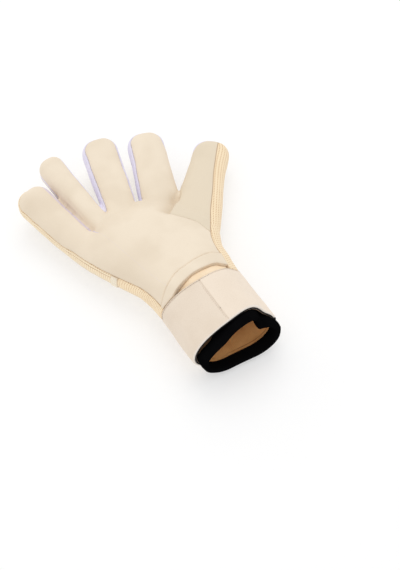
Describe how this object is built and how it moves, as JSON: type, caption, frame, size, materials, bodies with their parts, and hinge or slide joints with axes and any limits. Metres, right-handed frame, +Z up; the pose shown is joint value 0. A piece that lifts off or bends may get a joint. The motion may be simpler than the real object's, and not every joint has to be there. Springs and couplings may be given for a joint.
{
  "type": "goalkeeper glove",
  "caption": "Right-hand goalkeeper glove with a cream latex foam palm, side mesh, wrist strap and an open black-bound cuff, lying palm up.",
  "frame": {"origin": "on the surface that the glove rests on, below the middle of its bounding box", "axes": "+Y from the cuff towards the fingers, +X towards the thumb, +Z up out of the palm"},
  "size_m": [0.2134, 0.291, 0.0618],
  "materials": {
    "foam_latex": "matte cream latex foam, very smooth",
    "thumb_latex": "matte cream latex foam, slightly greyer",
    "backhand_foam": "matte cream foam",
    "side_mesh": "warm cream knitted mesh",
    "lilac_gusset": "lilac-white stretch fabric",
    "sleeve_knit": "tan elastic knit",
    "strap_cream": "soft pinkish cream strap, matte",
    "black_binding": "black folded binding tape, matte"
  },
  "bodies": {
    "root": {"palm_latex": "foam_latex", "thumb_latex": "thumb_latex", "heel_band": "foam_latex", "backhand": "backhand_foam", "thumb_mesh": "side_mesh", "palm_side_mesh": "side_mesh", "little_side_strip": "side_mesh", "side_joint_tab": "side_mesh", "gusset_web": "lilac_gusset", "gusset_index_middle": "lilac_gusset", "gusset_middle_ring": "lilac_gusset", "gusset_ring_little": "lilac_gusset", "wrist_sleeve": "sleeve_knit", "cuff_binding": "black_binding", "strap_palm_panel": "strap_cream", "strap_thumb_panel": "strap_cream"}
  },
  "joints": []
}
